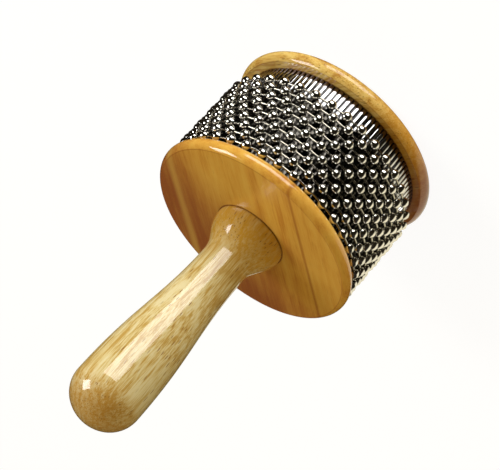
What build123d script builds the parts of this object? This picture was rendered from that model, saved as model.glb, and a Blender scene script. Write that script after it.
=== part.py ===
from build123d import *
import math
import os

# A hand cabasa: a ribbed steel drum between two turned wooden discs, a turned handle, and loops of
# steel ball chain that turn freely round the drum. Millimetres. The drum's axis is Z, the part
# stands on its rear disc at z = 0 with the handle up, and the photographed side faces -Y.

# Driving dimensions: the wooden discs
disc_diameter = 114.0
disc_thickness = 7.5
disc_edge_round = 3.0

# Driving dimensions: the handle, with heights above its foot
foot_diameter = 38.4
foot_edge_round = 0.8
neck_diameter = 24.6
neck_height = 22.0
swell_diameter = 36.8
swell_height = 112.0
dome_height = 17.2
tenon_diameter = 22.0
tenon_depth_in_core = 24.0
tenon_chamfer = 1.0

# Driving dimensions: the ball chain loops
loop_count = 9
beads_per_loop = 36
bead_diameter = 5.3
bead_wall = 0.4
link_diameter = 1.2
link_head_length = 0.8
link_head_lip = 0.35
rear_loop_phase = 3.2
bare_strip_width = 9.8

# Driving dimensions: the ribbed sleeve
rib_count = 110
rib_height = 0.6
rib_width = 1.9
sleeve_wall = 0.4
tab_depth = 4.0
tab_gap = 0.6

# Driving dimensions: the tie bolt, its insert and its plug
bolt_diameter = 8.0
bolt_overrun = 4.0
bolt_head_diameter = 17.0
bolt_head_height = 2.0
bolt_socket_across = 5.0
bolt_socket_depth = 1.3
bolt_web = 2.0
washer_diameter = 20.0
washer_thickness = 1.0
insert_diameter = 13.0
insert_length = 20.0
plug_diameter = 24.0

# Driving dimensions: the dowels that locate each disc on the core
dowel_count = 3
dowel_diameter = 8.0
dowel_circle_diameter = 68.0
dowel_depth_in_core = 14.0
dowel_web = 3.0
dowel_chamfer = 0.6

# Clearances
glue_gap = 0.05
end_gap = 0.3
bolt_gap = 0.3
sleeve_gap = 0.1
loop_gap = 0.1
loop_slack = 0.6
loop_rim_gap = 0.5
loop_front_gap = 0.7
link_play = 0.12

# Sizes worked out from the driving dimensions: radii from the disc's rim inwards
disc_radius = disc_diameter / 2
bead_radius = bead_diameter / 2
loop_radius = disc_radius - loop_rim_gap - bead_radius
crest_radius = loop_radius - bead_radius - loop_slack
valley_radius = crest_radius - rib_height
sleeve_bore_radius = valley_radius - sleeve_wall
core_radius = sleeve_bore_radius - sleeve_gap

# Heights along the axis, from the rear face to the handle
loop_pitch = bead_diameter + loop_gap
loops_width = loop_count * bead_diameter + (loop_count - 1) * loop_gap
drum_width = bare_strip_width + loops_width + loop_front_gap
core_bottom = disc_thickness
core_top = core_bottom + drum_width
foot_height = core_top + disc_thickness
rear_loop_height = core_bottom + bare_strip_width + bead_radius
tenon_bottom = core_top - tenon_depth_in_core

# Chain proportions: one link reaches from a bead's centre towards the next one's
loop_step = 360 / beads_per_loop
half_step = math.radians(loop_step / 2)
bead_spacing = 2 * loop_radius * math.sin(half_step)
link_radius = link_diameter / 2
bead_hole_radius = link_radius + bead_radius * math.tan(half_step) + link_play
bead_bore_radius = bead_radius - bead_wall
link_head_radius = bead_hole_radius + link_head_lip
link_head_reach = math.sqrt((bead_bore_radius - link_play) ** 2 - link_head_radius ** 2)
link_length = bead_spacing - 2 * (link_head_reach - link_head_length)

# Bolt stack, from the plug on the rear face inwards
washer_top = disc_thickness - bolt_web
washer_bottom = washer_top - washer_thickness
bolt_head_bottom = washer_bottom - bolt_head_height
plug_thickness = bolt_head_bottom - end_gap
bolt_hole_radius = bolt_diameter / 2 + bolt_gap
insert_bottom = tenon_bottom + end_gap
bolt_top = insert_bottom + insert_length + bolt_overrun

# The seam of the sleeve lies on the side away from the photographed one
seam_angle = 90.0
photo_angle = -90.0
kerf_width = tab_gap + 2 * sleeve_wall + 2 * sleeve_gap
kerf_depth = tab_depth + end_gap


def bar(radius, bottom, top):
    """A round bar on the Z axis between two heights."""
    upright = (Align.CENTER, Align.CENTER, Align.MIN)
    return Pos(0, 0, bottom) * Cylinder(radius, top - bottom, align=upright)


def turned(outline):
    """A solid turned about the Z axis from a closed outline drawn in radius and height."""
    return revolve(Plane.XZ * make_face(outline), Axis.Z)


def ring_of(shape, count, radius, phase=0.0):
    """Copies of a shape, evenly spaced on a circle about the Z axis."""
    step = 360 / count
    return [Rot(0, 0, phase + step * i) * Pos(radius, 0, 0) * shape for i in range(count)]


def rounded_disc(bottom):
    """A turned wooden disc with both rims rounded."""
    blank = bar(disc_radius, bottom, bottom + disc_thickness)
    return fillet(blank.edges().filter_by(GeomType.CIRCLE), disc_edge_round)


def dowel_span(at_front):
    """The lowest and highest ends of one disc's dowel holes, which cross from the disc into the core."""
    depth_in_disc = disc_thickness - dowel_web
    if at_front:
        return core_top - dowel_depth_in_core, core_top + depth_in_disc
    return core_bottom - depth_in_disc, core_bottom + dowel_depth_in_core


def dowel_holes(at_front):
    """The drilled holes for one disc's dowels."""
    bottom, top = dowel_span(at_front)
    hole = bar(dowel_diameter / 2 + glue_gap, bottom, top)
    return ring_of(hole, dowel_count, dowel_circle_diameter / 2, photo_angle)


def make_dowels(at_front):
    """The dowel pins of one disc, short of both ends of their holes."""
    bottom, top = dowel_span(at_front)
    pin = bar(dowel_diameter / 2, bottom + end_gap, top - end_gap)
    pin = chamfer(pin.edges().filter_by(GeomType.CIRCLE), dowel_chamfer)
    return ring_of(pin, dowel_count, dowel_circle_diameter / 2, photo_angle)


def make_handle():
    """The turned handle: a flared foot, a slim neck, a swelling grip, a domed end and a tenon."""
    foot_radius = foot_diameter / 2
    swell_radius = swell_diameter / 2
    swell_level = foot_height + swell_height
    foot = (foot_radius, foot_height)
    neck = (neck_diameter / 2, foot_height + neck_height)
    swell = (swell_radius, swell_level)
    upwards = (0, 1)

    # The domed end is an oval of two tangent arcs, a shoulder and then a crown
    crown_radius = swell_radius ** 2 / dome_height
    shoulder_radius = dome_height * (swell_radius + dome_height) / swell_diameter
    rise = swell_diameter * (swell_radius + dome_height)
    shoulder_angle = math.degrees(math.atan2(rise, dome_height * (swell_diameter + dome_height)))
    tip_level = swell_level + dome_height
    crown_centre = tip_level - crown_radius
    outline = [
        Line((0, foot_height), foot),
        Spline(foot, neck, swell, tangents=(upwards, upwards, upwards)),
        CenterArc((swell_radius - shoulder_radius, swell_level), shoulder_radius, 0, shoulder_angle),
        CenterArc((0, crown_centre), crown_radius, shoulder_angle, 90 - shoulder_angle),
        Line((0, tip_level), (0, foot_height)),
    ]
    grip = turned(outline)
    grip = fillet(grip.faces().sort_by(Axis.Z)[0].edges(), foot_edge_round)
    tenon = bar(tenon_diameter / 2, tenon_bottom + end_gap, foot_height)
    tenon = chamfer(tenon.faces().sort_by(Axis.Z)[0].edges(), tenon_chamfer)
    insert_top = insert_bottom + insert_length
    insert_hole = bar(insert_diameter / 2 + glue_gap, tenon_bottom, insert_top + end_gap)
    bolt_hole = bar(bolt_hole_radius, tenon_bottom, bolt_top + end_gap)
    return grip + tenon - insert_hole - bolt_hole


def make_front_disc():
    """The disc under the handle, bored for the tenon and drilled for its dowels."""
    bore = bar(tenon_diameter / 2 + glue_gap, core_top, foot_height)
    return rounded_disc(core_top) - [bore] - dowel_holes(at_front=True)


def make_rear_disc():
    """The far disc, recessed for the bolt head and the plug that hides it."""
    recess = bar(plug_diameter / 2 + glue_gap, 0, washer_top)
    bolt_hole = bar(bolt_hole_radius, 0, disc_thickness)
    return rounded_disc(0) - [recess, bolt_hole] - dowel_holes(at_front=False)


def make_drum_core():
    """The turned core, bored for bolt and tenon, with a kerf that takes the sleeve's ends."""
    core = bar(core_radius, core_bottom, core_top)
    bolt_hole = bar(bolt_hole_radius, core_bottom, core_top)
    socket = bar(tenon_diameter / 2 + glue_gap, tenon_bottom, core_top)
    outwards = (Align.MIN, Align.CENTER, Align.MIN)
    kerf = Box(2 * kerf_depth, kerf_width, drum_width, align=outwards)
    kerf = Rot(0, 0, seam_angle) * Pos(core_radius - kerf_depth, 0, core_bottom) * kerf
    holes = [bolt_hole, socket, kerf]
    return core - holes - dowel_holes(at_front=False) - dowel_holes(at_front=True)


def at_angle(radius, degrees):
    """A point of the drum's cross-section."""
    return (radius * math.cos(math.radians(degrees)), radius * math.sin(math.radians(degrees)))


def rib_run(low_radius, foot_angle, top_radius, edge_angle):
    """One face of the ribbed sheet, as arched ribs and flat valleys from seam edge to seam edge."""
    pitch = (360 - 2 * edge_angle) / rib_count
    foot_in = at_angle(low_radius, -foot_angle)
    foot_out = at_angle(low_radius, foot_angle)
    one_rib = [
        Line(at_angle(low_radius, -pitch / 2), foot_in),
        ThreePointArc(foot_in, (top_radius, 0), foot_out),
        Line(foot_out, at_angle(low_radius, pitch / 2)),
    ]
    middles = [seam_angle + edge_angle + pitch * (i + 0.5) for i in range(rib_count)]
    return [Rot(0, 0, middle) * edge for middle in middles for edge in one_rib]


def make_ribbed_sleeve():
    """The pressed steel sheet rolled round the core, both ends bent into the core's kerf."""
    outer_foot = math.asin(rib_width / 2 / valley_radius)
    rise = crest_radius - valley_radius * math.cos(outer_foot)
    arch_radius = (rib_width ** 2 / 4 + rise ** 2) / (2 * rise)
    arch_centre = crest_radius - arch_radius
    reach = sleeve_bore_radius ** 2 + arch_centre ** 2 - (arch_radius - sleeve_wall) ** 2
    inner_foot = math.acos(reach / (2 * sleeve_bore_radius * arch_centre))
    outer_edge = math.degrees(math.asin(tab_gap / 2 / valley_radius))
    inner_edge = math.degrees(math.asin((tab_gap / 2 + sleeve_wall) / sleeve_bore_radius))
    inner_crest = crest_radius - sleeve_wall
    outside = rib_run(valley_radius, math.degrees(outer_foot), crest_radius, inner_edge)
    inside = rib_run(sleeve_bore_radius, math.degrees(inner_foot), inner_crest, inner_edge)
    tab_foot = core_radius - tab_depth
    seam = Rot(0, 0, seam_angle)

    def bent_end(side, outer_start, inner_start):
        """The edges of one bent-in end, from the first rib's outer face round to its inner one."""
        lip = at_angle(valley_radius, seam_angle + side * outer_edge)
        near = (seam * Pos(tab_foot, side * tab_gap / 2, 0)).position
        far = (seam * Pos(tab_foot, side * (tab_gap / 2 + sleeve_wall), 0)).position
        return [Line(outer_start, lip), Line(lip, near), Line(near, far), Line(far, inner_start)]

    first = bent_end(1, outside[0] @ 0, inside[0] @ 0)
    last = bent_end(-1, outside[-1] @ 1, inside[-1] @ 1)
    section = make_face(outside + inside + first + last)
    height = drum_width - 2 * sleeve_gap
    return Pos(0, 0, core_bottom + sleeve_gap) * extrude(section, height)


def make_tie_bolt():
    """The flat-headed bolt that pulls handle, front disc, core and rear disc together."""
    shank = bar(bolt_diameter / 2, washer_bottom, bolt_top)
    head = bar(bolt_head_diameter / 2, bolt_head_bottom, washer_bottom)
    socket = extrude(RegularPolygon(bolt_socket_across / 2, 6, major_radius=False), bolt_socket_depth)
    return shank + head - Pos(0, 0, bolt_head_bottom) * socket


def make_washer():
    """The washer that spreads the bolt head's load on the rear disc."""
    hole = bar(bolt_hole_radius, washer_bottom, washer_top)
    return bar(washer_diameter / 2, washer_bottom, washer_top) - hole


def make_insert():
    """The threaded insert in the handle's tenon that the bolt screws into."""
    top = insert_bottom + insert_length
    thread = bar(bolt_diameter / 2 + glue_gap, insert_bottom, top)
    return bar(insert_diameter / 2, insert_bottom, top) - thread


def make_plug():
    """The wooden plug, flush with the rear face, that hides the bolt head."""
    return bar(plug_diameter / 2, 0, plug_thickness)


def make_bead():
    """One hollow bead of the chain on the Z axis, with a hole at each pole."""
    hole_top = math.sqrt(bead_radius ** 2 - bead_hole_radius ** 2)
    bore_top = math.sqrt(bead_bore_radius ** 2 - bead_hole_radius ** 2)
    outline = [
        ThreePointArc((bead_hole_radius, -hole_top), (bead_radius, 0), (bead_hole_radius, hole_top)),
        Line((bead_hole_radius, hole_top), (bead_hole_radius, bore_top)),
        ThreePointArc((bead_hole_radius, bore_top), (bead_bore_radius, 0), (bead_hole_radius, -bore_top)),
        Line((bead_hole_radius, -bore_top), (bead_hole_radius, -hole_top)),
    ]
    return turned(outline)


def make_link():
    """One link pin of the chain on the Z axis, with the two heads that hold it inside its beads."""
    half = link_length / 2
    neck = half - link_head_length
    pin = bar(link_radius, -neck, neck)
    return bar(link_head_radius, -half, -neck) + pin + bar(link_head_radius, neck, half)


def make_loop(number):
    """The beads and the links of one loop. Neighbouring loops stand half a step apart."""
    height = rear_loop_height + (number - 1) * loop_pitch
    stagger = loop_step / 2 * ((number - 1) % 2)
    phase = photo_angle + rear_loop_phase + stagger
    along = Rot(90, 0, 0)
    place = Pos(0, 0, height)
    mid_radius = loop_radius * math.cos(half_step)
    beads = ring_of(along * make_bead(), beads_per_loop, loop_radius, phase)
    links = ring_of(along * make_link(), beads_per_loop, mid_radius, phase + loop_step / 2)
    return [place * bead for bead in beads], [place * link for link in links]


def one_solid(shape):
    """The single solid of a piece."""
    return shape.solid()


def many_solids(shapes):
    """Separate solids of like pieces, kept together as one node."""
    return Compound([shape.solid() for shape in shapes])


# Every piece by its node's name
pieces = {
    "handle": one_solid(make_handle()),
    "front_disc": one_solid(make_front_disc()),
    "drum_core": one_solid(make_drum_core()),
    "rear_disc": one_solid(make_rear_disc()),
    "ribbed_sleeve": one_solid(make_ribbed_sleeve()),
    "tie_bolt": one_solid(make_tie_bolt()),
    "bolt_washer": one_solid(make_washer()),
    "handle_insert": one_solid(make_insert()),
    "rear_plug": one_solid(make_plug()),
    "front_dowels": many_solids(make_dowels(at_front=True)),
    "rear_dowels": many_solids(make_dowels(at_front=False)),
}
for number in range(1, loop_count + 1):
    loop_beads, loop_links = make_loop(number)
    pieces[f"bead_loop_{number}"] = many_solids(loop_beads)
    pieces[f"link_set_{number}"] = many_solids(loop_links)

os.makedirs("parts", exist_ok=True)
for name, piece in pieces.items():
    export_step(piece, f"parts/{name}.step")
    print(name, round(piece.volume, 1))
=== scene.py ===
"""Looks of a hand cabasa: turned and varnished wood, a ribbed steel sleeve and loops of steel beads."""

import logging
import math
from collections.abc import Sequence
from dataclasses import dataclass
from enum import Enum

import bmesh
import bpy
from mathutils import Matrix, Quaternion, Vector
from mathutils.geometry import interpolate_bezier


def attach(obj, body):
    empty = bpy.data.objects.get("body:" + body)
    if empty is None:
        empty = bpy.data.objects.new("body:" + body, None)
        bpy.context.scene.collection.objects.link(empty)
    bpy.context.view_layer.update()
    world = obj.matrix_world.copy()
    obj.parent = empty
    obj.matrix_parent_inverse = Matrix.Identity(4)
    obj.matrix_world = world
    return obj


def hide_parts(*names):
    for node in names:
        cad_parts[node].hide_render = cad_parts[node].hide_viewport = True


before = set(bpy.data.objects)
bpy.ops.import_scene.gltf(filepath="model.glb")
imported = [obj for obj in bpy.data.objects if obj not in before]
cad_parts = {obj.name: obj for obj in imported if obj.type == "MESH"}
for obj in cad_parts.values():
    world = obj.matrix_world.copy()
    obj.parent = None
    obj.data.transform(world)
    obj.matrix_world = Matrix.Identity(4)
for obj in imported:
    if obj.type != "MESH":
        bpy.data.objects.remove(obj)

LOG = logging.getLogger("cabasa")
MM = 0.001
MM_PER_METRE = 1000.0
FULL_TURN = 2 * math.pi
LOOP_COUNT = 9

# Points closer than this, in metres, become one: in a turned mesh, and where two ribs meet.
MERGE_WITHIN = 1e-7
RIB_MERGE_WITHIN = 2e-6

# Watts per square metre of an area light that give it a radiance of one.
WATTS_PER_RADIANCE = 4.0

Colour = tuple[float, float, float]
Point = tuple[float, float]


class GrainAxis(Enum):
    """Which way the fibres of a wooden piece run."""

    ALONG_HANDLE = "along the axis of the part"
    ACROSS_DISC = "across the face of a disc"


class SteelWear(Enum):
    """How a steel piece has been finished and handled."""

    TUMBLED = "tumbled bright, with faint smudges"
    PRESSED = "pressed sheet, dull in its valleys"
    PLATED = "plated fastener"


class Value:
    """A shader output that takes part in Python arithmetic."""

    def __init__(self, paint: "Paint", socket: bpy.types.NodeSocket) -> None:
        """Keeps the tree and the socket.

        Args:
            paint: The node tree that the socket belongs to.
            socket: The output socket.
        """
        self.paint = paint
        self.socket = socket

    def _maths(self, operation: str, first: "Term", second: "Term" = 0.0) -> "Value":
        """Adds one Math node.

        Args:
            operation: The Math node's operation.
            first: Its first term.
            second: Its second term.

        Returns:
            The node's result.
        """
        return self.paint.node("ShaderNodeMath", {"operation": operation}, {0: first, 1: second})

    def __add__(self, other: "Term") -> "Value":
        """The sum."""
        return self._maths("ADD", self, other)

    def __radd__(self, other: "Term") -> "Value":
        """The sum, with a number first."""
        return self._maths("ADD", other, self)

    def __sub__(self, other: "Term") -> "Value":
        """The difference."""
        return self._maths("SUBTRACT", self, other)

    def __rsub__(self, other: "Term") -> "Value":
        """The difference, with a number first."""
        return self._maths("SUBTRACT", other, self)

    def __mul__(self, other: "Term") -> "Value":
        """The product."""
        return self._maths("MULTIPLY", self, other)

    def __pow__(self, other: "Term") -> "Value":
        """The power."""
        return self._maths("POWER", self, other)

    def larger(self, other: "Term") -> "Value":
        """The larger of two values."""
        return self._maths("MAXIMUM", self, other)

    def root(self) -> "Value":
        """The square root."""
        return self._maths("SQRT", self)

    def rise(self, low: float, high: float) -> "Value":
        """A smooth step from 0 at low to 1 at high, which may also fall.

        Args:
            low: The value that gives 0.
            high: The value that gives 1.

        Returns:
            The step's result.
        """
        settings = {"interpolation_type": "SMOOTHSTEP"}
        if low < high:
            return self.paint.node("ShaderNodeMapRange", settings, {0: self, 1: low, 2: high})
        return 1 - self.paint.node("ShaderNodeMapRange", settings, {0: self, 1: high, 2: low})


Term = Value | float


class Paint:
    """The node tree of one finish."""

    # Numbers of the Mix node's sockets that belong to colours.
    MIX_SHARE = 0
    MIX_FIRST = 6
    MIX_SECOND = 7
    MIX_RESULT = 2

    def __init__(self, tree: bpy.types.NodeTree) -> None:
        """Starts an empty tree.

        Args:
            tree: The tree to fill.
        """
        self.tree = tree
        tree.nodes.clear()

    def _place(self, kind: str, settings: dict, inputs: dict) -> bpy.types.Node:
        """Adds a node, sets it and then fills its sockets.

        Args:
            kind: The node's type.
            settings: Its properties by name, with a ramp's stops under "stops".
            inputs: Values or links by socket name or number.

        Returns:
            The node.
        """
        made = self.tree.nodes.new(kind)
        for name, setting in settings.items():
            if name == "stops":
                self._set_stops(made.color_ramp, setting)
            else:
                setattr(made, name, setting)
        for key, given in inputs.items():
            if isinstance(given, Value):
                self.tree.links.new(given.socket, made.inputs[key])
            else:
                made.inputs[key].default_value = given
        return made

    @staticmethod
    def _set_stops(ramp: bpy.types.ColorRamp, stops: Sequence[tuple[float, Colour]]) -> None:
        """Sets a ramp's stops.

        Args:
            ramp: The ramp.
            stops: Positions and colours, in order.
        """
        while len(ramp.elements) < len(stops):
            ramp.elements.new(1.0)
        for element, (position, colour) in zip(ramp.elements, stops):
            element.position = position
            element.color = (*colour, 1.0)

    def node(self, kind: str, settings: dict | None = None, inputs: dict | None = None,
             output: int | str = 0) -> Value:
        """Adds any node and gives one of its outputs.

        Args:
            kind: The node's type.
            settings: Its properties by name.
            inputs: Values or links by socket name or number.
            output: The output that is wanted, by name or number.

        Returns:
            That output.
        """
        made = self._place(kind, settings or {}, inputs or {})
        return Value(self, made.outputs[output])

    def close(self, shader: Value, kind: str = "ShaderNodeOutputMaterial") -> None:
        """Links a shader to the tree's output.

        Args:
            shader: The finished shader.
            kind: The output node's type.
        """
        self._place(kind, {}, {"Surface": shader})

    def places(self) -> tuple[Value, Value, Value]:
        """The object's own coordinates in millimetres.

        Returns:
            X, Y and Z.
        """
        place = self.node("ShaderNodeTexCoord", output="Object")
        parts = self._place("ShaderNodeSeparateXYZ", {}, {0: place})
        x, y, z = (Value(self, socket) for socket in parts.outputs)
        return x * MM_PER_METRE, y * MM_PER_METRE, z * MM_PER_METRE

    def vector(self, x: Term, y: Term, z: Term) -> Value:
        """A vector from three values."""
        return self.node("ShaderNodeCombineXYZ", None, {0: x, 1: y, 2: z})

    def noise(self, where: Value, detail: float, roughness: float, swirl: float) -> Value:
        """Smooth noise from 0 to 1 at a place.

        Args:
            where: The place, already scaled so that one unit is one lump.
            detail: How many finer layers are added.
            roughness: How strong the finer layers are.
            swirl: How far the lumps are drawn out of shape.

        Returns:
            The noise.
        """
        inputs = {
            "Vector": where, "Scale": 1.0, "Detail": detail, "Roughness": roughness, "Distortion": swirl}
        return self.node("ShaderNodeTexNoise", {"noise_dimensions": "3D"}, inputs)

    def blend(self, share: Term, first: Value | tuple, second: Value | tuple) -> Value:
        """Mixes two colours.

        Args:
            share: How much of the second colour.
            first: The first colour, with its alpha.
            second: The second colour, with its alpha.

        Returns:
            The mixed colour.
        """
        inputs = {self.MIX_SHARE: share, self.MIX_FIRST: first, self.MIX_SECOND: second}
        return self.node("ShaderNodeMix", {"data_type": "RGBA"}, inputs, self.MIX_RESULT)

    def mix(self, share: Term, first: Value, second: Value) -> Value:
        """Mixes two shaders, with a share of the second."""
        return self.node("ShaderNodeMixShader", None, {0: share, 1: first, 2: second})

    def bump(self, height: Value, strength: float, depth: float) -> Value:
        """A normal from a height.

        Args:
            height: The height from 0 to 1.
            strength: How much of the effect is kept.
            depth: The height of 1 in metres.

        Returns:
            The normal.
        """
        inputs = {"Strength": strength, "Distance": depth, "Height": height}
        return self.node("ShaderNodeBump", None, inputs)


def new_material(name: str) -> tuple[bpy.types.Material, Paint]:
    """An empty node material.

    Args:
        name: The material's name.

    Returns:
        The material and its tree.
    """
    material = bpy.data.materials.new(name)
    material.use_nodes = True
    return material, Paint(material.node_tree)


def opaque(colour: Colour) -> tuple[float, float, float, float]:
    """A colour with full alpha."""
    return (*colour, 1.0)


@dataclass(frozen=True)
class Lumps:
    """Noise whose lumps have a size, in lumps per millimetre across and along the fibres."""

    across: float
    along: float
    detail: float = 2.0
    roughness: float = 0.5
    swirl: float = 0.0

    def place(self, paint: Paint, x: Term, y: Term, along: Term) -> Value:
        """A place, scaled so that one unit is one lump."""
        return paint.vector(x * self.across, y * self.across, along * self.along)

    def noise(self, paint: Paint, x: Term, y: Term, along: Term) -> Value:
        """The noise at a place.

        Args:
            paint: The tree to add to.
            x: The place across the fibres.
            y: The place across the fibres, square to the first.
            along: The place along the fibres.

        Returns:
            The noise, from 0 to 1.
        """
        return paint.noise(self.place(paint, x, y, along), self.detail, self.roughness, self.swirl)


@dataclass(frozen=True)
class Relief:
    """Fine relief: how much of it is kept, and its depth in metres."""

    strength: float
    depth: float

    def normal(self, paint: Paint, height: Value) -> Value:
        """The normal that a height from 0 to 1 gives."""
        return paint.bump(height, self.strength, self.depth)


WHITE: Colour = (1.0, 1.0, 1.0)

# Middle of noise that runs from 0 to 1.
MID = 0.5

# Figure of varnished wood.
WANDER = Lumps(0.045, 0.012, detail=1.0)
WANDER_REACH = 26.0
GROWTH_RINGS = Lumps(0.42, 0.004, detail=3.0, roughness=0.6)
FIBRES = Lumps(1.9, 0.07, roughness=0.6)
MOTTLE = Lumps(0.24, 0.07, swirl=1.1)
CLOUDS = Lumps(0.06, 0.03)
STREAK_DRAW = 0.05
STREAK_ROUGHNESS = 0.6
TONE_STOPS = (0.34, 0.5, 0.66)

# Open pores of varnished wood, by the distance from a pore's middle and by how crowded they are.
PORE_CELLS = Lumps(0.8, 0.1)
PORE_CROWDS = Lumps(0.22, 0.035, detail=1.0)
PORE_SIDE = 0.25
PORE_MIDDLE = 0.12
CROWD_FROM = 0.38
CROWD_FULL = 0.58
PORE_DEPTH = 0.5

# Surface of varnished wood.
WOOD_RELIEF = Relief(0.22, 0.0001)
VARNISH_ROUGHNESS = 0.04
FIBRE_ROUGHNESS = 0.06
SATIN_EDGE = 1.0
VARNISH_IOR = 1.6

# Raw wood and steel.
RAW_RINGS = Lumps(0.4, 0.01, detail=3.0)
RAW_FIBRES = Lumps(1.6, 0.08, detail=3.0)
RAW_RELIEF = Relief(0.4, 0.0002)
SMUDGES = Lumps(0.16, 0.16, detail=3.0, roughness=0.6)
FINE_MARKS = Lumps(3.0, 3.0)
ROLLED_LINES = Lumps(2.5, 0.1)
STEEL_RELIEF = Relief(0.06, 0.00005)

# Studio.
FLOOR_GRIT = Lumps(0.4, 1.0)
CLOTH_WEAVE = Lumps(0.02, 0.02)


@dataclass(frozen=True)
class Figure:
    """How strongly each part of a wood's figure shows, and how many of its streaks lie side by side."""

    rings: float
    streaks: float
    fibres: float
    mottle: float
    clouds: float
    pores: float
    streaks_per_mm: float


@dataclass(frozen=True)
class Mark:
    """A coloured mark in wood: a streak along the grain, or a ring round a disc; the rings here are painted
    shade where two parts meet and a painted dark reflection along a rim's corner. Millimetres.
    """

    place: float
    half_width: float
    strength: float
    colour: Colour


@dataclass(frozen=True)
class TonerAndShade:
    """Where a piece deepens in colour, along a line turned from across the fibres: a toner in the handle's
    varnish, and painted shade on the discs. Millimetres, degrees.
    """

    turn: float
    start: float
    end: float
    strength: float
    colour: Colour


@dataclass(frozen=True)
class VarnishedWood:
    """Pale hardwood under clear varnish, with growth figure, fibre streaks and open pores. Millimetres."""

    name: str
    grain: GrainAxis
    turn: float
    pith: Point
    shift: float
    tones: tuple[Colour, Colour, Colour]
    pore: Colour
    varnish: float
    figure: Figure
    streaks: tuple[Mark, ...] = ()
    rings: tuple[Mark, ...] = ()
    toners_and_shades: tuple[TonerAndShade, ...] = ()
    satin: float = 0.0
    satin_within: float = 1.0

    def _board(self, paint: Paint) -> tuple[Value, Value, Value]:
        """Places in the board that the piece was cut from.

        Args:
            paint: The tree to add to.

        Returns:
            Across the fibres, through the board's thickness, and along the fibres.
        """
        x, y, z = paint.places()
        cosine, sine = math.cos(math.radians(self.turn)), math.sin(math.radians(self.turn))
        along = x * cosine + y * sine
        across = y * cosine - x * sine
        if self.grain is GrainAxis.ALONG_HANDLE:
            return across, along, z
        return across, z, along

    def _tone(self, paint: Paint, across: Value, through: Value, along: Value) -> tuple[Value, Value]:
        """How dark the bare figure is.

        Args:
            paint: The tree to add to.
            across: The place across the fibres.
            through: The place in the board's thickness.
            along: The place along the fibres.

        Returns:
            The tone, about 0.5, and the fibres alone.
        """
        far = along + self.shift
        wander = WANDER.noise(paint, across, through, far)
        from_pith = ((across - self.pith[0]) ** 2 + (through - self.pith[1]) ** 2).root()
        ring = from_pith + (wander - MID) * WANDER_REACH
        wide = self.figure.streaks_per_mm
        lumps = Lumps(wide, wide * STREAK_DRAW, roughness=STREAK_ROUGHNESS)
        rings = GROWTH_RINGS.noise(paint, ring, 0.0, far)
        streaks = lumps.noise(paint, across, through, far)
        fibres = FIBRES.noise(paint, across, through, far)
        mottle = MOTTLE.noise(paint, across, through, far)
        clouds = CLOUDS.noise(paint, across, through, far)
        shares = (
            (rings, self.figure.rings), (streaks, self.figure.streaks), (fibres, self.figure.fibres),
            (mottle, self.figure.mottle), (clouds, self.figure.clouds))
        return sum(((part - MID) * share for part, share in shares), MID), fibres

    def _pores(self, paint: Paint, across: Value, through: Value, along: Value) -> Value:
        """Short dark dashes along the fibres, where the wood's vessels are cut open.

        Args:
            paint: The tree to add to.
            across: The place across the fibres.
            through: The place in the board's thickness.
            along: The place along the fibres.

        Returns:
            1 in a pore and 0 beside it.
        """
        far = along + self.shift
        cell = PORE_CELLS.place(paint, across, through, far)
        away = paint.node("ShaderNodeTexVoronoi", None, {"Vector": cell, "Scale": 1.0})
        crowd = PORE_CROWDS.noise(paint, across, through, far)
        return away.rise(PORE_SIDE, PORE_MIDDLE) * crowd.rise(CROWD_FROM, CROWD_FULL)

    def material(self) -> bpy.types.Material:
        """Builds the finish.

        Returns:
            The material.
        """
        material, paint = new_material(self.name)
        across, through, along = self._board(paint)
        tone, fibres = self._tone(paint, across, through, along)
        stops = list(zip(TONE_STOPS, self.tones))
        colour = paint.node("ShaderNodeValToRGB", {"stops": stops}, {0: tone})
        # Toner on the handle; on the discs this deepening is painted shade.
        for deepening in self.toners_and_shades:
            lean = math.radians(deepening.turn)
            place = across * math.cos(lean) + along * math.sin(lean)
            share = place.rise(deepening.start, deepening.end) * (tone + MID) * deepening.strength
            colour = paint.blend(share, colour, opaque(deepening.colour))
        # Streaks along the grain; the rings round a disc are painted shade where parts meet and a painted
        # dark reflection along the rim's corner.
        from_axis = (across ** 2 + along ** 2).root()
        for place, marks in ((across, self.streaks), (from_axis, self.rings)):
            for mark in marks:
                near = (((place - mark.place) ** 2).root()).rise(mark.half_width, 0.0)
                colour = paint.blend(near * mark.strength, colour, opaque(mark.colour))
        rough = fibres * FIBRE_ROUGHNESS + VARNISH_ROUGHNESS
        if self.satin:
            face = from_axis.rise(self.satin_within, self.satin_within - SATIN_EDGE)
            rough = rough + face * self.satin
        pores = self._pores(paint, across, through, along)
        colour = paint.blend(pores * self.figure.pores, colour, opaque(self.pore))
        shader = paint.node("ShaderNodeBsdfPrincipled", None, {
            "Base Color": colour,
            "Roughness": rough,
            "Normal": WOOD_RELIEF.normal(paint, fibres - pores * (self.figure.pores * PORE_DEPTH)),
            "Coat Weight": self.varnish,
            "Coat IOR": VARNISH_IOR,
        })
        paint.close(shader)
        return material


@dataclass(frozen=True)
class RawWood:
    """Unfinished wood inside the part. Millimetres."""

    name: str
    pale: Colour
    dark: Colour
    pith: float = 30.0
    ring_share: float = 0.6
    fibre_share: float = 0.4
    pale_to: float = 0.3
    dark_from: float = 0.7
    roughness: float = 0.6
    fibre_roughness: float = 0.2

    def material(self) -> bpy.types.Material:
        """Builds the finish.

        Returns:
            The material.
        """
        material, paint = new_material(self.name)
        x, y, z = paint.places()
        rings = RAW_RINGS.noise(paint, ((x + self.pith) ** 2 + y ** 2).root(), 0.0, z)
        fibre = RAW_FIBRES.noise(paint, x, y, z)
        share = (rings * self.ring_share + fibre * self.fibre_share).rise(self.pale_to, self.dark_from)
        shader = paint.node("ShaderNodeBsdfPrincipled", None, {
            "Base Color": paint.blend(share, opaque(self.pale), opaque(self.dark)),
            "Roughness": fibre * self.fibre_roughness + self.roughness,
            "Normal": RAW_RELIEF.normal(paint, fibre),
        })
        paint.close(shader)
        return material


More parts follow.
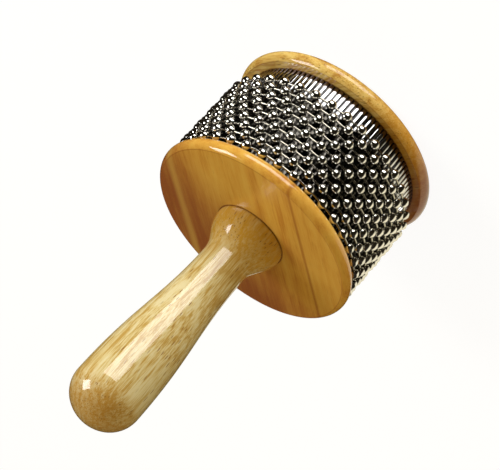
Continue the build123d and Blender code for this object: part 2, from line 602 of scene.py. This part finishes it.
@dataclass(frozen=True)
class Metal:
    """A bare or plated metal, with smudges and fine marks. Millimetres.

    A pressed sheet gets painted shade: near black in its valleys, dark from one height up under the bead
    loops, and dark below another next to the rear disc.
    """

    name: str
    colour: Colour
    stain_and_groove_shade: Colour
    roughness: float
    wear: SteelWear
    valley: float = 0.0
    crest: float = 1.0
    # Painted shade on a pressed sheet: from this height up it takes the dark colour of the shade under the
    # bead loops.
    painted_bead_shade_from: float = 0.0
    painted_bead_shade: Colour = (0.5, 0.5, 0.5)
    # Painted shade on a pressed sheet: below this height it takes the dark colour of the shade next to the
    # rear disc.
    painted_disc_shade_to: float = 0.0
    painted_disc_shade: Colour = (0.5, 0.5, 0.5)
    smudged_from: float = 0.42
    smudged_full: float = 0.75
    smudge_share: float = 0.5
    smudge_roughness: float = 0.08
    mark_roughness: float = 0.04
    hollow_roughness: float = 0.1
    line_roughness: float = 0.03
    painted_bead_shade_run: float = 3.0
    painted_disc_shade_run: float = 1.5
    # Share of the painted shade next to the rear disc and in a pressed sheet's valleys.
    painted_shade_share: float = 0.9

    def material(self) -> bpy.types.Material:
        """Builds the finish.

        Returns:
            The material.
        """
        material, paint = new_material(self.name)
        x, y, z = paint.places()
        smudge = SMUDGES.noise(paint, x, y, z)
        marks = FINE_MARKS.noise(paint, x, y, z)
        share = smudge.rise(self.smudged_from, self.smudged_full) * self.smudge_share
        rough = smudge * self.smudge_roughness + marks * self.mark_roughness + self.roughness
        colour = paint.blend(share, opaque(self.colour), opaque(self.stain_and_groove_shade))
        if self.wear is SteelWear.PRESSED:
            radius = (x ** 2 + y ** 2).root()
            hollow = radius.rise(self.crest, self.valley)
            lines = ROLLED_LINES.noise(paint, x, y, z)
            under_beads_shade = z.rise(self.painted_bead_shade_from, self.painted_bead_shade_from + self.painted_bead_shade_run)
            painted_disc_shade = z.rise(self.painted_disc_shade_to, self.painted_disc_shade_to - self.painted_disc_shade_run)
            rough = rough + hollow * self.hollow_roughness + lines * self.line_roughness
            # Painted shade: dark under the bead loops, dark next to the rear disc, and near black in the
            # valleys.
            colour = paint.blend(under_beads_shade, colour, opaque(self.painted_bead_shade))
            colour = paint.blend(painted_disc_shade * self.painted_shade_share, colour, opaque(self.painted_disc_shade))
            colour = paint.blend(hollow * self.painted_shade_share, colour, opaque(self.stain_and_groove_shade))
        shader = paint.node("ShaderNodeBsdfPrincipled", None, {
            "Base Color": colour,
            "Metallic": 1.0,
            "Roughness": rough,
            "Normal": STEEL_RELIEF.normal(paint, marks),
        })
        paint.close(shader)
        return material


DEEP_RED: Colour = (0.30, 0.10, 0.03)
AMBER: Colour = (0.56, 0.31, 0.04)
GOLDEN_BROWN: Colour = (0.48, 0.23, 0.035)
RUSSET: Colour = (0.55, 0.26, 0.03)
# Painted shade: a dark ring where two parts meet, round the handle's foot on the front disc and round the
# sleeve on the rear disc.
PAINTED_CORNER_SHADE: Colour = (0.16, 0.045, 0.02)
# Painted reflection: a dark ring along a disc's rim corner, in place of the dark that the corner mirrors.
PAINTED_RIM_REFLECTION = Mark(place=54.5, half_width=0.45, strength=0.5, colour=DEEP_RED)
HANDLE_WOOD = VarnishedWood(
    name="handle_wood",
    grain=GrainAxis.ALONG_HANDLE,
    turn=20.0,
    pith=(8.0, 46.0),
    shift=0.0,
    tones=((0.71, 0.635, 0.38), (0.635, 0.515, 0.235), (0.48, 0.315, 0.085)),
    pore=(0.20, 0.08, 0.02),
    varnish=0.35,
    figure=Figure(
        rings=0.65, streaks=0.7, fibres=0.9, mottle=0.45, clouds=0.35, pores=0.8, streaks_per_mm=0.6),
    toners_and_shades=(
        TonerAndShade(turn=90.0, start=104.0, end=80.0, strength=0.9, colour=AMBER),
        TonerAndShade(turn=90.0, start=180.0, end=202.0, strength=0.5, colour=GOLDEN_BROWN)))
FRONT_WOOD = VarnishedWood(
    name="front_disc_wood",
    grain=GrainAxis.ACROSS_DISC,
    turn=126.0,
    pith=(20.0, -70.0),
    shift=40.0,
    tones=((0.72, 0.44, 0.09), (0.67, 0.367, 0.065), (0.54, 0.245, 0.04)),
    pore=(0.22, 0.08, 0.02),
    varnish=0.3,
    figure=Figure(
        rings=0.25, streaks=0.5, fibres=0.3, mottle=0.15, clouds=0.5, pores=0.2, streaks_per_mm=0.2),
    streaks=(
        Mark(place=-42.0, half_width=4.0, strength=0.5, colour=(0.62, 0.40, 0.10)),
        Mark(place=33.0, half_width=1.6, strength=0.6, colour=(0.32, 0.10, 0.02))),
    # Rings: painted reflection along the rim's corner, and painted shade round the handle's foot.
    rings=(PAINTED_RIM_REFLECTION, Mark(place=19.3, half_width=0.7, strength=0.85, colour=PAINTED_CORNER_SHADE)),
    # Painted shade: the face deepens to deep red on its shaded side.
    toners_and_shades=(TonerAndShade(turn=148.0, start=-14.0, end=36.0, strength=0.95, colour=DEEP_RED),),
    satin=0.15,
    satin_within=54.5)
REAR_WOOD = VarnishedWood(
    name="rear_disc_wood",
    grain=GrainAxis.ACROSS_DISC,
    turn=64.0,
    pith=(-12.0, -60.0),
    shift=310.0,
    tones=((0.76, 0.57, 0.20), (0.66, 0.45, 0.125), (0.45, 0.23, 0.05)),
    pore=(0.15, 0.06, 0.018),
    varnish=0.12,
    figure=Figure(
        rings=0.4, streaks=0.5, fibres=0.6, mottle=0.5, clouds=0.3, pores=0.8, streaks_per_mm=0.4),
    # Rings: painted reflection along the rim's corner, and painted shade where the sleeve meets the disc.
    rings=(PAINTED_RIM_REFLECTION, Mark(place=50.4, half_width=0.6, strength=0.8, colour=PAINTED_CORNER_SHADE)),
    # Painted shade: both deepen the disc towards its shaded side and rim.
    toners_and_shades=(
        TonerAndShade(turn=-33.0, start=-10.0, end=40.0, strength=0.8, colour=RUSSET),
        TonerAndShade(turn=-33.0, start=32.0, end=56.0, strength=0.9, colour=DEEP_RED)),
    satin=0.12,
    satin_within=54.5)
PLUG_WOOD = VarnishedWood(
    name="plug_wood",
    grain=GrainAxis.ACROSS_DISC,
    turn=70.0,
    pith=(15.0, -50.0),
    shift=520.0,
    tones=((0.64, 0.40, 0.10), (0.53, 0.29, 0.06), (0.36, 0.15, 0.03)),
    pore=(0.14, 0.05, 0.015),
    varnish=0.3,
    figure=Figure(
        rings=0.4, streaks=0.5, fibres=0.6, mottle=0.4, clouds=0.3, pores=0.6, streaks_per_mm=0.4))
CORE_WOOD = RawWood("core_wood", pale=(0.62, 0.46, 0.27), dark=(0.42, 0.28, 0.14))
BEAD_STEEL = Metal(
    "bead_steel", colour=(0.86, 0.83, 0.77), stain_and_groove_shade=(0.64, 0.61, 0.54), roughness=0.04,
    wear=SteelWear.TUMBLED)
LINK_STEEL = Metal(
    "link_steel", colour=(0.60, 0.56, 0.47), stain_and_groove_shade=(0.42, 0.38, 0.30), roughness=0.12,
    wear=SteelWear.TUMBLED)
# Painted shade: the sheet's near-black valleys, its dark band from 18.6 mm up under the bead loops, and its
# dark band below 11.2 mm next to the rear disc.
SLEEVE_STEEL = Metal(
    "sleeve_steel", colour=(0.74, 0.73, 0.72), stain_and_groove_shade=(0.014, 0.012, 0.01), roughness=0.03,
    wear=SteelWear.PRESSED, valley=50.1, crest=50.3, painted_bead_shade_from=18.6, painted_bead_shade=(0.07, 0.065, 0.055),
    painted_disc_shade_to=11.2, painted_disc_shade=(0.12, 0.085, 0.09))
BOLT_STEEL = Metal(
    "bolt_steel", colour=(0.5, 0.5, 0.48), stain_and_groove_shade=(0.36, 0.35, 0.3), roughness=0.25,
    wear=SteelWear.PLATED)
INSERT_BRASS = Metal(
    "insert_brass", colour=(0.68, 0.5, 0.2), stain_and_groove_shade=(0.45, 0.3, 0.1), roughness=0.2,
    wear=SteelWear.PLATED)


def turned(profile: Sequence[Point], steps: int, closed: bool = False) -> bmesh.types.BMesh:
    """Spins a profile of radius and height, in millimetres, round the Z axis.

    Args:
        profile: The profile's points, in order.
        steps: How many steps make the turn.
        closed: Whether the last point joins the first.

    Returns:
        The turned mesh, merged, with its faces outwards.
    """
    bm = bmesh.new()
    points = [bm.verts.new((radius * MM, 0.0, height * MM)) for radius, height in profile]
    ends = points[1:] + points[:1] if closed else points[1:]
    edges = [bm.edges.new(pair) for pair in zip(points, ends)]
    bmesh.ops.spin(bm, geom=points + edges, axis=(0, 0, 1), angle=FULL_TURN, steps=steps, use_merge=True)
    bmesh.ops.remove_doubles(bm, verts=bm.verts, dist=MERGE_WITHIN)
    bmesh.ops.recalc_face_normals(bm, faces=bm.faces)
    return bm


def ring_copies(bm: bmesh.types.BMesh, count: int, span: float = FULL_TURN) -> None:
    """Repeats all that a mesh holds round the Z axis.

    Args:
        bm: The mesh, which holds the first copy.
        count: How many copies there are at the end.
        span: The angle that holds all of them, in radians.
    """
    geom = bm.verts[:] + bm.edges[:] + bm.faces[:]
    angle = span * (count - 1) / count
    bmesh.ops.spin(bm, geom=geom, axis=(0, 0, 1), angle=angle, steps=count - 1, use_duplicate=True)


def arc(centre: Point, radius: float, start: float, end: float, steps: int) -> list[Point]:
    """Points of an arc in a profile.

    Args:
        centre: The arc's centre.
        radius: Its radius.
        start: The first angle in degrees.
        end: The last angle in degrees.
        steps: How many steps there are.

    Returns:
        The points, ends included.
    """
    angles = [math.radians(start + (end - start) * i / steps) for i in range(steps + 1)]
    return [(centre[0] + radius * math.cos(a), centre[1] + radius * math.sin(a)) for a in angles]


def sweep(low: Point, low_pull: float, high: Point, high_pull: float, steps: int) -> list[Point]:
    """A smooth stretch of a turned outline that stands upright at both ends.

    Args:
        low: Radius and height of its lower end.
        low_pull: How far the lower end holds its direction.
        high: Radius and height of its upper end.
        high_pull: How far the upper end holds its direction.
        steps: How many steps there are.

    Returns:
        The points, ends included.
    """
    knots = (low, (low[0], low[1] + low_pull), (high[0], high[1] - high_pull), high)
    run = interpolate_bezier(*(Vector((*knot, 0.0)) for knot in knots), steps + 1)
    return [(point.x, point.y) for point in run]


def new_piece(name: str, bm: bmesh.types.BMesh, material: bpy.types.Material,
              sharp: float = 40.0) -> bpy.types.Object:
    """Makes an object from a mesh, smooth but for its sharp edges.

    Args:
        name: The piece's name.
        bm: Its mesh, which is freed.
        material: Its finish.
        sharp: The angle in degrees from which an edge stays sharp.

    Returns:
        The object, at the origin.
    """
    limit = math.radians(sharp)
    for face in bm.faces:
        face.smooth = True
    for edge in bm.edges:
        edge.smooth = edge.calc_face_angle(0.0) < limit
    mesh = bpy.data.meshes.new(name)
    bm.to_mesh(mesh)
    bm.free()
    mesh.materials.append(material)
    piece = bpy.data.objects.new(name, mesh)
    bpy.context.scene.collection.objects.link(piece)
    return piece


def fit(piece: bpy.types.Object, body: str, node: str) -> None:
    """Puts a piece on its body in place of a node.

    Args:
        piece: The piece.
        body: The body that it rides on.
        node: The node that it stands for.
    """
    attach(piece, body)
    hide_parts(node)


@dataclass
class Handle:
    """The turned handle, from its tenon and flared foot to its domed end. Millimetres."""

    foot: float = 74.0
    foot_radius: float = 19.2
    foot_round: float = 0.8
    foot_pull: float = 9.34
    neck: float = 96.0
    neck_radius: float = 12.3
    neck_pull_down: float = 9.13
    neck_pull_up: float = 35.71
    swell: float = 186.0
    swell_radius: float = 18.4
    swell_pull: float = 41.86
    dome: float = 17.2
    tenon: float = 11.0
    tenon_end: float = 42.8
    tenon_chamfer: float = 1.0
    insert: float = 6.55
    insert_end: float = 63.1
    bolt: float = 4.3
    bolt_end: float = 67.1
    turn_steps: int = 128
    edge_steps: int = 5
    flare_steps: int = 24
    grip_steps: int = 40
    shoulder_steps: int = 14
    crown_steps: int = 10

    def profile(self) -> list[Point]:
        """The outline from the end of the bolt hole round to the tip.

        Returns:
            Radius and height of each point.
        """
        swell, tip = self.swell_radius, self.swell + self.dome
        crown = swell ** 2 / self.dome
        shoulder = self.dome * (swell + self.dome) / (2 * swell)
        rise, run = 2 * swell * (swell + self.dome), self.dome * (2 * swell + self.dome)
        turn = math.degrees(math.atan2(rise, run))
        edge_centre = (self.foot_radius - self.foot_round, self.foot + self.foot_round)
        neck = (self.neck_radius, self.neck)
        inside = [
            (0.0, self.bolt_end), (self.bolt, self.bolt_end), (self.bolt, self.insert_end),
            (self.insert, self.insert_end), (self.insert, self.tenon_end),
            (self.tenon - self.tenon_chamfer, self.tenon_end),
            (self.tenon, self.tenon_end + self.tenon_chamfer), (self.tenon, self.foot)]
        edge = arc(edge_centre, self.foot_round, -90, 0, self.edge_steps)
        flare = sweep(edge[-1], self.foot_pull, neck, self.neck_pull_down, self.flare_steps)
        grip = sweep(neck, self.neck_pull_up, (swell, self.swell), self.swell_pull, self.grip_steps)
        sides = arc((swell - shoulder, self.swell), shoulder, 0, turn, self.shoulder_steps)
        top = arc((0.0, tip - crown), crown, turn, 90, self.crown_steps)
        return inside + edge[:-1] + flare[:-1] + grip + sides[1:] + top[1:-1] + [(0.0, tip)]

    def build(self) -> bpy.types.Object:
        """Turns and dresses the handle.

        Returns:
            The piece.
        """
        bm = turned(self.profile(), self.turn_steps)
        piece = new_piece("handle_turned", bm, HANDLE_WOOD.material())
        fit(piece, "drum", "handle")
        return piece


@dataclass
class WoodDisc:
    """One of the two turned discs, with a crowned rim and a small round at each corner. Millimetres."""

    name: str
    node: str
    finish: VarnishedWood
    bottom: float
    bores: tuple[Point, ...]
    radius: float = 57.0
    thickness: float = 7.5
    crown: float = 4.3
    corner: float = 0.6
    turn_steps: int = 160
    corner_steps: int = 4
    rim_steps: int = 16

    def profile(self) -> list[Point]:
        """The outline, from the bore outwards under the disc and back over it.

        Returns:
            Radius and height of each point.
        """
        half = self.thickness / 2
        middle = self.bottom + half
        centre = self.radius - self.crown
        reach, drop = self.crown - self.corner, half - self.corner
        lean = math.degrees(math.asin(drop / reach))
        edge = centre + math.sqrt(reach ** 2 - drop ** 2)
        under = arc((edge, middle - drop), self.corner, -90, -lean, self.corner_steps)
        rim = arc((centre, middle), self.crown, -lean, lean, self.rim_steps)
        over = arc((edge, middle + drop), self.corner, lean, 90, self.corner_steps)
        return [*self.bores, *under, *rim[1:-1], *over]

    def build(self) -> bpy.types.Object:
        """Turns and dresses the disc.

        Returns:
            The piece.
        """
        bm = turned(self.profile(), self.turn_steps, closed=True)
        piece = new_piece(self.name, bm, self.finish.material())
        fit(piece, "drum", self.node)
        return piece


@dataclass
class RibbedSleeve:
    """The pressed steel sheet round the core, with both ends bent in at the seam. Millimetres."""

    ribs: int = 110
    crest: float = 50.6
    valley: float = 50.0
    rib_width: float = 1.9
    crown: float = 0.17
    groove: float = 0.7
    wall: float = 0.4
    tab_foot: float = 45.5
    tab_gap: float = 0.6
    bottom: float = 7.6
    top: float = 66.4
    seam: float = 90.0
    crown_steps: int = 8
    sharp: float = 55.0
    upright_from: float = 10.0

    def build(self) -> bpy.types.Object:
        """Presses, rolls and dresses the sheet.

        Returns:
            The piece.
        """
        edge = math.asin((self.tab_gap / 2 + self.wall) / (self.valley - self.wall))
        pitch = (FULL_TURN - 2 * edge) / self.ribs
        bend = (self.rib_width ** 2 / 4 + self.crown ** 2) / (2 * self.crown)
        lean = math.degrees(math.asin(self.rib_width / 2 / bend))
        half = self.valley * math.sin(pitch / 2)
        middle = self.valley * math.cos(pitch / 2)
        foot = half - self.groove / 2
        floor = math.sqrt(self.valley ** 2 - foot ** 2)
        crest_line = arc((self.crest - bend, 0.0), bend, -lean, lean, self.crown_steps)
        line = [(middle, -half), (floor, -foot), *crest_line, (floor, foot), (middle, half)]

        bm = bmesh.new()
        points = [bm.verts.new((x * MM, y * MM, self.bottom * MM)) for x, y in line]
        edges = [bm.edges.new(pair) for pair in zip(points, points[1:])]
        raised = bmesh.ops.extrude_edge_only(bm, edges=edges)["geom"]
        lifted = [item for item in raised if isinstance(item, bmesh.types.BMVert)]
        bmesh.ops.translate(bm, verts=lifted, vec=(0, 0, (self.top - self.bottom) * MM))
        start = math.radians(self.seam) + edge + pitch / 2
        bmesh.ops.rotate(bm, verts=bm.verts, matrix=Matrix.Rotation(start, 3, "Z"))
        ring_copies(bm, self.ribs, pitch * self.ribs)
        bmesh.ops.remove_doubles(bm, verts=bm.verts, dist=RIB_MERGE_WITHIN)
        self._bend_ends(bm)
        bmesh.ops.recalc_face_normals(bm, faces=bm.faces)
        bmesh.ops.solidify(bm, geom=bm.faces[:], thickness=self.wall * MM)
        piece = new_piece("sleeve_sheet", bm, SLEEVE_STEEL.material(), self.sharp)
        fit(piece, "drum", "ribbed_sleeve")
        return piece

    def _bend_ends(self, bm: bmesh.types.BMesh) -> None:
        """Bends the sheet's two upright ends into the core.

        Args:
            bm: The rolled sheet.
        """
        sides = [edge for edge in bm.edges if edge.is_boundary]
        rises = [abs(edge.verts[0].co.z - edge.verts[1].co.z) for edge in sides]
        upright = [edge for edge, rise in zip(sides, rises) if rise > self.upright_from * MM]
        for end in upright:
            side = math.copysign(1.0, end.verts[0].co.x)
            geom = bmesh.ops.extrude_edge_only(bm, edges=[end])["geom"]
            bent = [item for item in geom if isinstance(item, bmesh.types.BMVert)]
            for vert in bent:
                vert.co.x = side * self.tab_gap / 2 * MM
                vert.co.y = self.tab_foot * MM


@dataclass
class BeadLoop:
    """One loop of ball chain: hollow beads and the link pins between them. Millimetres."""

    number: int
    count: int = 36
    rear_height: float = 19.95
    pitch: float = 5.4
    radius: float = 53.85
    bead: float = 2.65
    facet_gain: float = 1.015
    bead_sides: int = 12
    bead_rings: int = 5
    hole: float = 0.952
    lip: float = 0.4
    pin: float = 0.6
    pin_half: float = 3.6
    pin_sides: int = 8
    head_overhang: float = 0.3
    head_thickness: float = 0.5
    rear_phase: float = -86.8
    bead_sharp: float = 60.0
    pin_sharp: float = 50.0

    def _placed(self, bm: bmesh.types.BMesh, radius: float, turn: float) -> None:
        """Lays one turned shape along the chain and repeats it round the loop.

        Args:
            bm: The shape, on the Z axis.
            radius: Its distance from the drum's axis.
            turn: The angle of the first copy, in degrees.
        """
        height = self.rear_height + self.pitch * (self.number - 1)
        place = Matrix.Translation((radius * MM, 0.0, height * MM)) @ Matrix.Rotation(math.pi / 2, 4, "X")
        spot = Matrix.Rotation(math.radians(turn), 4, "Z") @ place
        bmesh.ops.transform(bm, matrix=spot, verts=bm.verts)
        ring_copies(bm, self.count)

    def _half_step(self) -> float:
        """Half the angle between two beads, in degrees."""
        return 180.0 / self.count

    def _phase(self) -> float:
        """The angle of the loop's first bead, half a step further in every second loop."""
        return self.rear_phase + self._half_step() * ((self.number - 1) % 2)

    def build_beads(self, material: bpy.types.Material) -> bpy.types.Object:
        """Spins the hollow beads.

        Args:
            material: Their finish.

        Returns:
            The piece.
        """
        shell = self.bead * self.facet_gain
        low = math.degrees(math.acos(self.hole / shell))
        skin = arc((0.0, 0.0), shell, -low, low, self.bead_rings)
        inner = self.bead - self.lip
        depth = math.sqrt(inner ** 2 - self.hole ** 2)
        bm = turned([(self.hole, -depth), *skin, (self.hole, depth)], self.bead_sides)
        self._placed(bm, self.radius, self._phase())
        piece = new_piece(f"beads_{self.number}", bm, material, self.bead_sharp)
        fit(piece, f"loop_{self.number}", f"bead_loop_{self.number}")
        return piece

    def build_links(self, material: bpy.types.Material) -> bpy.types.Object:
        """Spins the link pins, whose heads sit inside the beads.

        Args:
            material: Their finish.

        Returns:
            The piece.
        """
        head, neck = self.hole + self.head_overhang, self.pin_half - self.head_thickness
        half = [(self.pin, neck), (head, neck), (head, self.pin_half), (0.0, self.pin_half)]
        profile = [(radius, -height) for radius, height in reversed(half)] + half
        bm = turned(profile, self.pin_sides)
        step = self._half_step()
        self._placed(bm, self.radius * math.cos(math.radians(step)), self._phase() + step)
        piece = new_piece(f"links_{self.number}", bm, material, self.pin_sharp)
        fit(piece, f"loop_{self.number}", f"link_set_{self.number}")
        return piece


@dataclass
class InnerParts:
    """The pieces that hold the part together and that stay as they are, in better finishes."""

    core: tuple[str, ...] = ("drum_core", "front_dowels", "rear_dowels")
    bolt: tuple[str, ...] = ("tie_bolt", "bolt_washer")
    insert: tuple[str, ...] = ("handle_insert",)
    plug: tuple[str, ...] = ("rear_plug",)

    def dress(self) -> list[bpy.types.Object]:
        """Gives each kept node its finish.

        Returns:
            The kept pieces.
        """
        choices = [
            (self.core, CORE_WOOD.material()), (self.bolt, BOLT_STEEL.material()),
            (self.insert, INSERT_BRASS.material()), (self.plug, PLUG_WOOD.material())]
        kept = []
        for nodes, material in choices:
            for name in nodes:
                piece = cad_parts[name]
                for slot in piece.material_slots:
                    slot.material = material
                kept.append(piece)
        return kept


@dataclass(frozen=True)
class Softbox:
    """An area light aimed at the part. Metres."""

    name: str
    towards: tuple[float, float, float]
    distance: float
    width: float
    height: float
    radiance: float
    mirrored: bool = True

    def build(self, target: Vector) -> None:
        """Hangs the light.

        Args:
            target: The point that it lights.
        """
        light = bpy.data.lights.new(self.name, "AREA")
        light.shape = "RECTANGLE"
        light.size, light.size_y = self.width, self.height
        light.energy = WATTS_PER_RADIANCE * self.width * self.height * self.radiance
        lamp = bpy.data.objects.new(self.name, light)
        way = Vector(self.towards).normalized()
        lamp.location = target + way * self.distance
        lamp.rotation_euler = way.to_track_quat("Z", "Y").to_euler()
        lamp.visible_camera = False
        lamp.visible_glossy = self.mirrored
        bpy.context.scene.collection.objects.link(lamp)


@dataclass(frozen=True)
class Card:
    """A pale card with a soft edge, which only reflections show. Degrees."""

    way: tuple[float, float, float]
    inner: float
    outer: float

    def share(self, facing: Value) -> Value:
        """How much of the card shows where the cosine of the angle from its middle is as given."""
        return facing.rise(math.cos(math.radians(self.outer)), math.cos(math.radians(self.inner)))


@dataclass
class Studio:
    """The floor, the surroundings, the lights and the camera. Metres; lens and sensor in millimetres."""

    target: tuple[float, float, float] = (0.0, 0.0, 0.074)
    distance: float = 1.15
    elevation: float = 27.55
    roll: float = 221.79
    lens: float = 170.0
    sensor: float = 36.0
    nearest: float = 0.01
    floor_size: float = 4.0
    floor_sides: int = 96
    floor_drop: float = 0.0002
    floor_tones: tuple[Colour, Colour] = ((0.86, 0.86, 0.86), (0.9, 0.9, 0.9))
    floor_glow: float = 1.08
    floor_glow_share: float = 0.85
    surround: float = 3.0
    surround_sides: int = 48
    surround_rings: int = 24
    cloth_tones: tuple[Colour, Colour] = ((0.02, 0.02, 0.02), (0.035, 0.032, 0.03))
    panel_place: tuple[float, float, float] = (-0.062, 0.05, 0.202)
    panel_half: float = 0.14
    side_card: Card = Card((-0.87, 0.42, -0.22), inner=38.0, outer=54.0)
    back_card: Card = Card((0.0, 0.889, -0.457), inner=2.0, outer=14.0)
    card: Colour = (0.95, 0.89, 0.68)
    ambient: Colour = (0.45, 0.345, 0.15)
    lit_point: tuple[float, float, float] = (0.0, 0.0, 0.09)
    lights: tuple[Softbox, ...] = (
        Softbox(
            "key_softbox", (0.40, -0.74, -0.539), distance=0.95, width=0.82, height=0.62, radiance=3.8),
        Softbox(
            "side_softbox", (0.852, -0.123, 0.507), distance=1.1, width=0.46, height=0.46, radiance=7.0),
        Softbox(
            "back_softbox", (-0.55, 0.62, 0.56), distance=1.5, width=1.0, height=1.0, radiance=0.8,
            mirrored=False),
    )

    def build_camera(self) -> None:
        """Sets the camera where the photograph was taken from."""
        lens = bpy.data.cameras.new("photo_camera")
        lens.lens = self.lens
        lens.sensor_width = self.sensor
        lens.clip_start = self.nearest
        camera = bpy.data.objects.new("photo_camera", lens)
        lift = math.radians(self.elevation)
        offset = Vector((0.0, -math.cos(lift), math.sin(lift))) * self.distance
        camera.location = Vector(self.target) + offset
        level = (-offset).to_track_quat("-Z", "Y")
        camera.rotation_euler = (level @ Quaternion((0, 0, 1), math.radians(self.roll))).to_euler()
        bpy.context.scene.collection.objects.link(camera)
        bpy.context.scene.camera = camera

    def build_world(self) -> None:
        """Sets surroundings that look white and that light the part softly, in a warm tone."""
        world = bpy.data.worlds.new("white_studio")
        world.use_nodes = True
        paint = Paint(world.node_tree)
        seen = self._seen(paint)
        soft = paint.node("ShaderNodeBackground", None, {"Color": opaque(self.ambient), "Strength": 1.0})
        white = paint.node("ShaderNodeBackground", None, {"Color": opaque(WHITE), "Strength": 1.0})
        paint.close(paint.mix(seen, soft, white), "ShaderNodeOutputWorld")
        bpy.context.scene.world = world

    @staticmethod
    def _seen(paint: Paint) -> Value:
        """1 for what the camera sees, straight, in a reflection or through glass.

        Args:
            paint: The tree to add to.

        Returns:
            The share, 0 or 1.
        """
        direct = paint.node("ShaderNodeLightPath", output="Is Camera Ray")
        mirrored = paint.node("ShaderNodeLightPath", output="Is Glossy Ray")
        through = paint.node("ShaderNodeLightPath", output="Is Transmission Ray")
        return direct.larger(mirrored).larger(through)

    def build_floor(self) -> None:
        """Lays the pale floor, which keeps a soft shadow."""
        bm = bmesh.new()
        under = Matrix.Translation((0.0, 0.0, -self.floor_drop))
        bmesh.ops.create_circle(
            bm, cap_ends=True, segments=self.floor_sides, radius=self.floor_size, matrix=under)
        material, paint = new_material("pale_floor")
        grit = FLOOR_GRIT.noise(paint, *paint.places())
        dim, pale = self.floor_tones
        shade = paint.blend(grit, opaque(dim), opaque(pale))
        shaded = paint.node("ShaderNodeBsdfDiffuse", None, {"Color": shade})
        glow = {"Color": opaque(WHITE), "Strength": self.floor_glow}
        bright = paint.node("ShaderNodeEmission", None, glow)
        paint.close(paint.mix(self._seen(paint) * self.floor_glow_share, shaded, bright))
        floor = new_piece("pale_floor", bm, material)
        floor.visible_shadow = False
        floor.visible_glossy = False

    def build_flag(self) -> None:
        """Hangs what only reflections show.

        A dark cloth and two cream cards stand round the part, and a dark panel beside the handle
        keeps the cards' glare off its varnish.
        """
        bm = bmesh.new()
        bmesh.ops.create_uvsphere(
            bm, u_segments=self.surround_sides, v_segments=self.surround_rings, radius=self.surround)
        upright = Matrix.Translation(self.panel_place) @ Matrix.Rotation(math.pi / 2, 4, "Y")
        bmesh.ops.create_grid(bm, x_segments=1, y_segments=1, size=self.panel_half, matrix=upright)
        material, paint = new_material("dark_cloth")
        x, y, z = paint.places()
        weave = CLOTH_WEAVE.noise(paint, x, y, z)
        deep, worn = self.cloth_tones
        shade = paint.blend(weave, opaque(deep), opaque(worn))
        cloth = paint.node("ShaderNodeBsdfDiffuse", None, {"Color": shade})
        card = paint.node("ShaderNodeEmission", None, {"Color": opaque(self.card), "Strength": 1.0})
        shares = []
        for pale in (self.side_card, self.back_card):
            way = Vector(pale.way).normalized() * MM / self.surround
            shares.append(pale.share(x * way.x + y * way.y + z * way.z))
        paint.close(paint.mix(shares[0].larger(shares[1]), cloth, card))
        flag = new_piece("dark_cloth", bm, material)
        flag.visible_camera = False
        flag.visible_diffuse = False
        flag.visible_transmission = False
        flag.visible_shadow = False

    def build(self) -> None:
        """Sets up the whole studio."""
        self.build_camera()
        self.build_world()
        self.build_floor()
        self.build_flag()
        for light in self.lights:
            light.build(Vector(self.lit_point))
        bpy.context.scene.view_settings.view_transform = "Standard"


def main() -> None:
    """Builds and dresses the part, reports its pieces, then builds the studio."""
    logging.basicConfig(level=logging.INFO, format="%(name)s %(message)s")
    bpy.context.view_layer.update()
    # Radius and height of the corners of each disc's bore, in millimetres.
    front_bores = ((11.05, 74.0), (11.05, 66.5))
    rear_bores = ((4.3, 7.5), (4.3, 5.5), (12.05, 5.5), (12.05, 0.0))
    pieces = [
        Handle().build(),
        WoodDisc("front_disc_turned", "front_disc", FRONT_WOOD, bottom=66.5, bores=front_bores).build(),
        WoodDisc("rear_disc_turned", "rear_disc", REAR_WOOD, bottom=0.0, bores=rear_bores).build(),
        RibbedSleeve().build()]
    bead_steel, link_steel = BEAD_STEEL.material(), LINK_STEEL.material()
    for number in range(1, LOOP_COUNT + 1):
        loop = BeadLoop(number)
        pieces += [loop.build_beads(bead_steel), loop.build_links(link_steel)]
    pieces += InnerParts().dress()
    for piece in pieces:
        LOG.info("%s: %d faces, in %s", piece.name, len(piece.data.polygons), piece.active_material.name)
    Studio().build()


if __name__ == "__main__":
    main()
